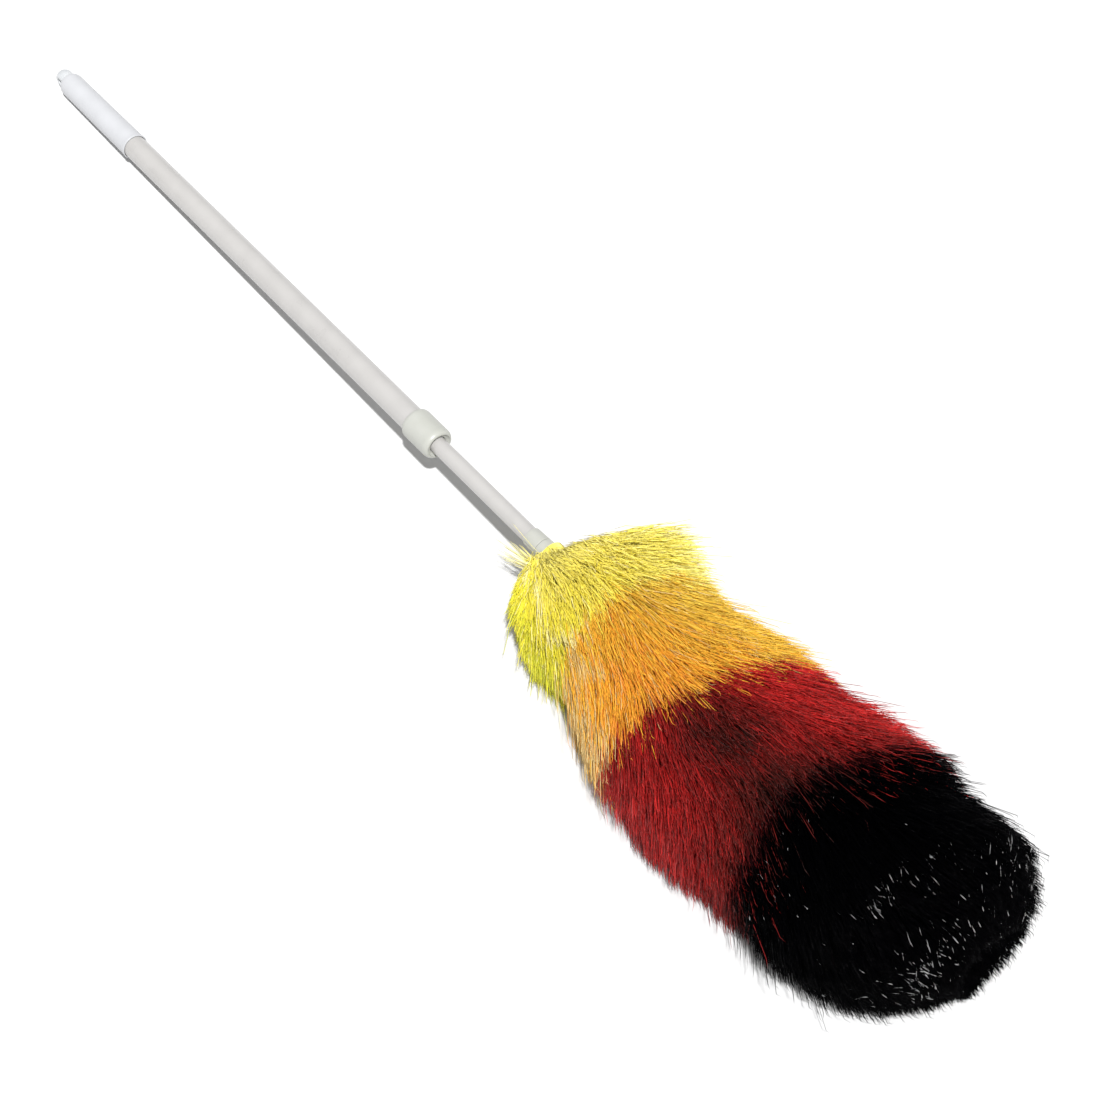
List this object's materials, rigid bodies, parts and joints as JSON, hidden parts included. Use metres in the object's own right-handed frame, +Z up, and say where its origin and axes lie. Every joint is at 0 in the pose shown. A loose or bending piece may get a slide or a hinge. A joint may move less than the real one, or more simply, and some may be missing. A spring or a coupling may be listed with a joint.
{
  "type": "static duster",
  "caption": "Telescopic static duster: twist-lock pole with a hanging grip and a long bottle-brush head of soft synthetic fibre in yellow, orange, red and black.",
  "frame": {"origin": "middle of the duster's length and width, on the surface that it lies on", "axes": "+X from the grip towards the fibre tip along the surface, +Z up; the pole's own axis rises 3.5 degrees towards the tip"},
  "size_m": [1.0398, 0.174, 0.1391],
  "materials": {
    "clear_plastic": "gloss",
    "grip_plastic": "satin",
    "coated_tube": "satin",
    "ivory_plastic": "satin",
    "lock_plastic": "satin",
    "core_wire": "satin",
    "yellow_fibre": "glossy soft fibre",
    "orange_fibre": "glossy soft fibre",
    "red_fibre": "glossy soft fibre",
    "black_fibre": "glossy soft fibre"
  },
  "bodies": {
    "handle": {"outer_tube": "coated_tube", "grip_sleeve": "grip_plastic", "hang_cap": "clear_plastic", "guide_bush": "ivory_plastic", "collar": "ivory_plastic"},
    "lock": {"lock_shoe": "lock_plastic"},
    "head": {"inner_tube": "coated_tube", "lock_spindle": "lock_plastic", "ferrule": "ivory_plastic", "head_base": "ivory_plastic", "core_wire_a": "core_wire", "core_wire_b": "core_wire", "tip_cap": "ivory_plastic", "yellow_whorl_1": "yellow_fibre", "yellow_whorl_2": "yellow_fibre", "orange_whorl_1": "orange_fibre", "orange_whorl_2": "orange_fibre", "orange_whorl_3": "orange_fibre", "red_whorl_1": "red_fibre", "red_whorl_2": "red_fibre", "red_whorl_3": "red_fibre", "red_whorl_4": "red_fibre", "black_whorl_1": "black_fibre", "black_whorl_2": "black_fibre", "black_whorl_3": "black_fibre", "black_whorl_4": "black_fibre", "black_whorl_5": "black_fibre"}
  },
  "joints": [
    {"name": "pole_slide", "type": "slide", "parent": "handle", "child": "lock", "axis": [0.9981, 0, 0.061], "range_m": [-0.095, 0.28]},
    {"name": "twist_lock", "type": "hinge", "parent": "lock", "child": "head", "pos_m": [-0.33227, 0, 0.02018], "axis": [0.9981, 0, 0.061], "range_deg": [-150, 0]}
  ]
}
